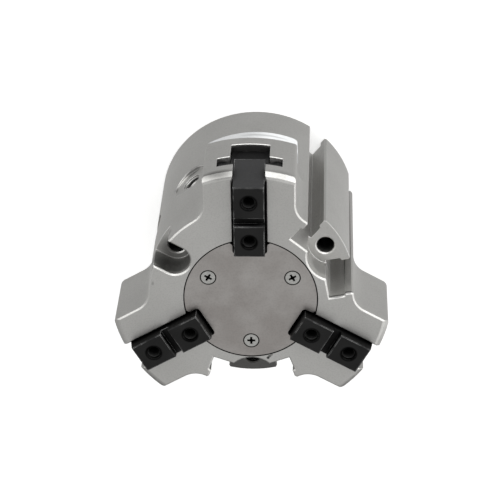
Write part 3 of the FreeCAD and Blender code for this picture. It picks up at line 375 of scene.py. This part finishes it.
def plate_material():
    """Ground steel, a little stained, with painted shade in crevices."""
    m = Material("plate_ground", 1.0)
    m.mottle(110, (0.42, 0.395, 0.38), (0.52, 0.50, 0.485))
    m.speckle(2200, darkest=0.93)
    m.uneven(700, 0.30, 0.42)
    m.grain(5000, depth=0.000004)
    m.crevices(0.002, darkest=0.05)
    m.ring(0, 0, PLATE_RADIUS, PLATE_JOINT, JOINT_LIGHT)
    for x, y in SCREW_PLACES:
        m.ring(x, y, SCREW_HOLE_RADIUS, HOLE_JOINT, JOINT_LIGHT)
    return m.finish()


def screw_material():
    """Screws inside the gripper, with a painted highlight and worn bright metal on their edges."""
    m = Material("screw_steel", 1.0, (0.66, 0.66, 0.64))
    m.uneven(2000, 0.25, 0.4)
    m.edges(0.0001, EDGE_HIGHLIGHT_AND_WEAR, strength=0.7)
    return m.finish()


def cover_screw_material():
    """Zinc-plated heads, with painted shade in the cross recess."""
    m = Material("cover_screw_steel", 1.0, (0.62, 0.62, 0.60))
    m.speckle(3000, darkest=0.8)
    m.uneven(2000, 0.25, 0.4)
    for x, y in SCREW_PLACES:
        m.ring(x, y, SCREW_RADIUS, HEAD_JOINT, JOINT_LIGHT)
    m.painted_shade_and_marks(RECESS_SHADE)
    m.below(RECESS_TOP, light=0.02)
    return m.finish()


def jaw_material():
    """Blackened steel with dark threads; painted light greys the outward faces, painted shade darkens the
    foot, holes, sideways faces and crevices, and edges carry a painted highlight and wear.
    """
    m = Material("jaw_black", 0.0)
    m.give(m.shader, {"IOR": 1.33})
    m.mottle(150, (0.004, 0.004, 0.004), (0.008, 0.008, 0.008))
    # painted light on faces looking away from the axis, painted shade on faces looking sideways
    m.painted_light_by_facing((0.030, 0.030, 0.031), painted_side_shade=0.4)
    m.painted_shade_and_marks(JAW_SHADE)
    m.uneven(1500, 0.42, 0.55)
    m.rounded(0.00015)
    m.grain(5000, depth=0.000005)
    m.crevices(0.004, darkest=0.0, closed=0.25, open_from=0.9)
    m.edges(0.00025, (0.42, 0.42, 0.42), strength=0.8, wear=0.003)
    return m.finish()


def label_material():
    """White foil, with painted shade in places and a thin grey line."""
    m = Material("label_foil", 0.0, (0.86, 0.875, 0.885))
    m.uneven(1200, 0.35, 0.45)
    m.painted_shade_and_marks(LABEL_SHADE_AND_LINE)
    return m.finish()


def plain_material(name, color, metallic, roughness):
    """One colour, with painted shade in crevices."""
    m = Material(name, metallic, color)
    m.uneven(1200, roughness - ROUGHNESS_SWING, roughness + ROUGHNESS_SWING)
    m.crevices(0.003, darkest=0.2)
    return m.finish()


def make_camera():
    data = bpy.data.cameras.new("camera")
    data.lens = LENS
    data.sensor_width = SENSOR_WIDTH
    data.clip_start = CLIP_START
    data.clip_end = CLIP_END
    camera = put("camera", data)
    turn = Matrix((CAMERA_RIGHT, CAMERA_UP, CAMERA_BACK)).transposed().to_4x4()
    camera.matrix_world = Matrix.Translation(CAMERA_PLACE) @ turn
    bpy.context.scene.camera = camera


def make_world():
    """White to the camera; for light and reflections a grey studio with a bright band on one side.

    Left, down and top are those of the photograph, and height is the way that the front face looks.
    """
    world = bpy.data.worlds.new("studio")
    bpy.context.scene.world = world
    s = Shading(world)
    s.nodes.clear()
    axes = s.add("SeparateXYZ")
    s.give(axes, {"Vector": s.add("TexCoord").outputs["Generated"]})
    left, down, height = axes.outputs["X"], axes.outputs["Y"], axes.outputs["Z"]

    # The band lies at the top and on the right, from the object's level to well over its front face
    top = s.spread(s.math("ADD", down, s.times(left, 0.6)), 1.0, 0.0, start=0.1, end=0.6)
    rise = s.spread(height, 0.0, 1.0, start=-0.15, end=0.1)
    fall = s.spread(height, 1.0, 0.0, start=0.55, end=0.75)
    band = s.times(top, s.times(rise, fall))

    # The grey is darker towards the object's rear, most on the left, and darker low at the bottom
    slope = s.math("ADD", s.times(left, -0.2), s.times(down, 0.1))
    under = s.math("SUBTRACT", s.math("ADD", 0.91, slope), 1.0)
    lower = s.times(under, s.spread(height, 1.0, 0.0, start=-0.6, end=0.0))
    low_down = s.spread(height, 1.0, 0.0, start=0.1, end=0.45)
    bottom = s.times(s.spread(down, 0.0, 0.75, start=0.6, end=0.9), low_down)
    grey = s.times(STUDIO_LEVEL, s.math("SUBTRACT", s.math("ADD", 1.0, lower), bottom))

    around = s.add("Background")
    s.give(around, {"Color": STUDIO_COLOR, "Strength": s.math("ADD", grey, s.times(band, BAND_LEVEL))})
    seen = s.add("Background")
    s.give(seen, {"Color": (1, 1, 1, 1)})
    choose = s.add("MixShader")
    path = s.add("LightPath")
    s.give(choose, {0: path.outputs["Is Camera Ray"], 1: around.outputs[0], 2: seen.outputs[0]})
    output = s.add("OutputWorld")
    s.give(output, {"Surface": choose.outputs[0]})


def make_floor():
    """Pale floor that the object stands on, white but for the object's shadow, open when seen from below."""
    material = bpy.data.materials.new("floor_pale")
    s = Shading(material)
    paint = s.nodes["Principled BSDF"]
    s.give(paint, {"Base Color": (0.8, 0.8, 0.8, 1), "Roughness": 0.9, "Specular IOR Level": 0.0})
    s.give(paint, {"Emission Color": (1, 1, 1, 1), "Emission Strength": FLOOR_GLOW})
    from_below = s.add("NewGeometry").outputs["Backfacing"]
    choose = s.add("MixShader")
    s.give(choose, {0: from_below, 1: paint.outputs[0], 2: s.add("BsdfTransparent").outputs[0]})
    s.give(s.nodes["Material Output"], {"Surface": choose.outputs[0]})
    corners = [(x * FLOOR_REACH, y * FLOOR_REACH, 0) for x, y in ((-1, -1), (1, -1), (1, 1), (-1, 1))]
    floor = put_mesh("floor", corners, [(0, 1, 2, 3)], material)
    floor.location.z = FLOOR_LEVEL
    floor.visible_diffuse = False
    floor.visible_glossy = False
    floor.visible_shadow = False


def add_lamp(name, toward, distance, width, height, power):
    """Area lamp in a direction from the object, facing it."""
    data = bpy.data.lights.new(name, "AREA")
    data.shape = "RECTANGLE"
    data.size = width
    data.size_y = height
    data.energy = power
    thing = put(name, data)
    direction = Vector(toward).normalized()
    thing.location = Vector(LAMP_AIM) + direction * distance
    thing.rotation_euler = direction.to_track_quat("Z", "Y").to_euler()


def add_thread(name, body, slot, mouth, outward, radius, pitch, depth, ridge):
    """Ridge that winds down the wall of a hole; mouth is the middle of its mouth, outward its direction."""
    corners = []
    steps = round(THREAD_STEPS * depth / pitch)
    for step in range(steps + 1):
        angle = 2 * math.pi * step / THREAD_STEPS
        down = depth * step / steps
        for reach, shift in ((radius, -RIDGE_HALF), (radius - ridge, 0), (radius, RIDGE_HALF)):
            height = -down - (shift + 0.5) * pitch
            corners.append((reach * math.cos(angle), reach * math.sin(angle), height))
    last = 3 * steps
    faces = [(0, 1, 2), (last + 2, last + 1, last)]
    for start in range(0, last, 3):
        for side in range(3):
            following = (side + 1) % 3
            faces.append((start + side, start + 3 + side, start + 3 + following, start + following))
    thing = put_mesh(name, corners, faces, JAW_THREAD if slot == "jaws" else SURFACES[slot])
    turn = Vector(outward).to_track_quat("Z", "Y").to_matrix().to_4x4()
    thing.matrix_world = Matrix.Translation(mouth) @ turn
    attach(thing, body)


def add_worn_edge(name, start, end, height):
    """Rounded, shiny edge at the end of the upper wing, between two sideways distances. Millimetres."""
    corners, faces = [], []
    for step in range(EDGE_STEPS + 1):
        aside = start + (end - start) * step / EDGE_STEPS
        along = math.sqrt((WING_REACH - EDGE_RADIUS / 2) ** 2 - aside ** 2)
        for side in range(EDGE_SIDES):
            turn = 2 * math.pi * side / EDGE_SIDES
            out = along + EDGE_RADIUS * math.cos(turn)
            up = height - EDGE_RADIUS + EDGE_RADIUS * math.sin(turn)
            corners.append((out / 1000, aside / 1000, up / 1000))
            if step:
                here = step * EDGE_SIDES + side
                ahead = step * EDGE_SIDES + (side + 1) % EDGE_SIDES
                faces.append((here - EDGE_SIDES, ahead - EDGE_SIDES, ahead, here))
    thing = put_mesh(name, corners, faces, WORN_EDGE)
    thing.data.shade_smooth()
    thing.rotation_euler.z = math.radians(UPPER_WING)
    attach(thing, "body")


make_camera()
bpy.context.scene.view_settings.view_transform = "Standard"

SURFACES = {
    "housing": housing_material(),
    "plate": plate_material(),
    "screws": screw_material(),
    "jaws": jaw_material(),
    "drive_steel": plain_material("drive_steel_ground", (0.45, 0.45, 0.46), 1.0, 0.3),
    "piston_light": plain_material("aluminium_turned", (0.7, 0.7, 0.7), 1.0, 0.35),
    "magnet": plain_material("magnet_sintered", (0.1, 0.1, 0.105), 0.6, 0.5),
    "seals": plain_material("seal_rubber", (0.02, 0.02, 0.02), 0.0, 0.55),
    "bush": plain_material("bush_bronze", (0.7, 0.5, 0.25), 1.0, 0.35),
    "spring_steel": plain_material("steel_blackened", (0.06, 0.06, 0.065), 0.8, 0.4),
    "label": label_material(),
}
COVER_SCREWS = cover_screw_material()
WORN_EDGE = plain_material("worn_edge", (0.8, 0.8, 0.78), 1.0, 0.35)
JAW_THREAD = plain_material("jaw_thread_black", (0.003, 0.003, 0.003), 0.0, 0.6)

slot_of = {part["node"]: part["material_slot"] for part in frame["record"]["subparts"]}
for node, thing in frame["nodes"].items():
    for slot in thing.material_slots:
        slot.material = COVER_SCREWS if node == "cover_screws" else SURFACES[slot_of[node]]

make_world()
make_floor()
add_lamp("lamp_top", toward=(-0.3, -0.9, 0.6), distance=1.2, width=1.2, height=0.6, power=3)

for mount in THREADS:
    outward = Vector(mount["axis"])
    place = Vector(mount["pos_m"])
    radius = mount["dims"]["r_mm"] / 1000
    if mount["name"].startswith("jaw"):
        body = mount["name"][:len("jaw_1")]
        mouth = Vector((place.x, place.y, JAW_THREAD_MOUTH))
        add_thread(mount["name"], body, "jaws", mouth, outward, radius, **JAW_THREAD_SIZES)
    else:
        add_thread(mount["name"], "body", "housing", place, outward, radius, **PORT_THREAD_SIZES)

for name, start, end, height in WORN_EDGES:
    add_worn_edge(name, start, end, height)
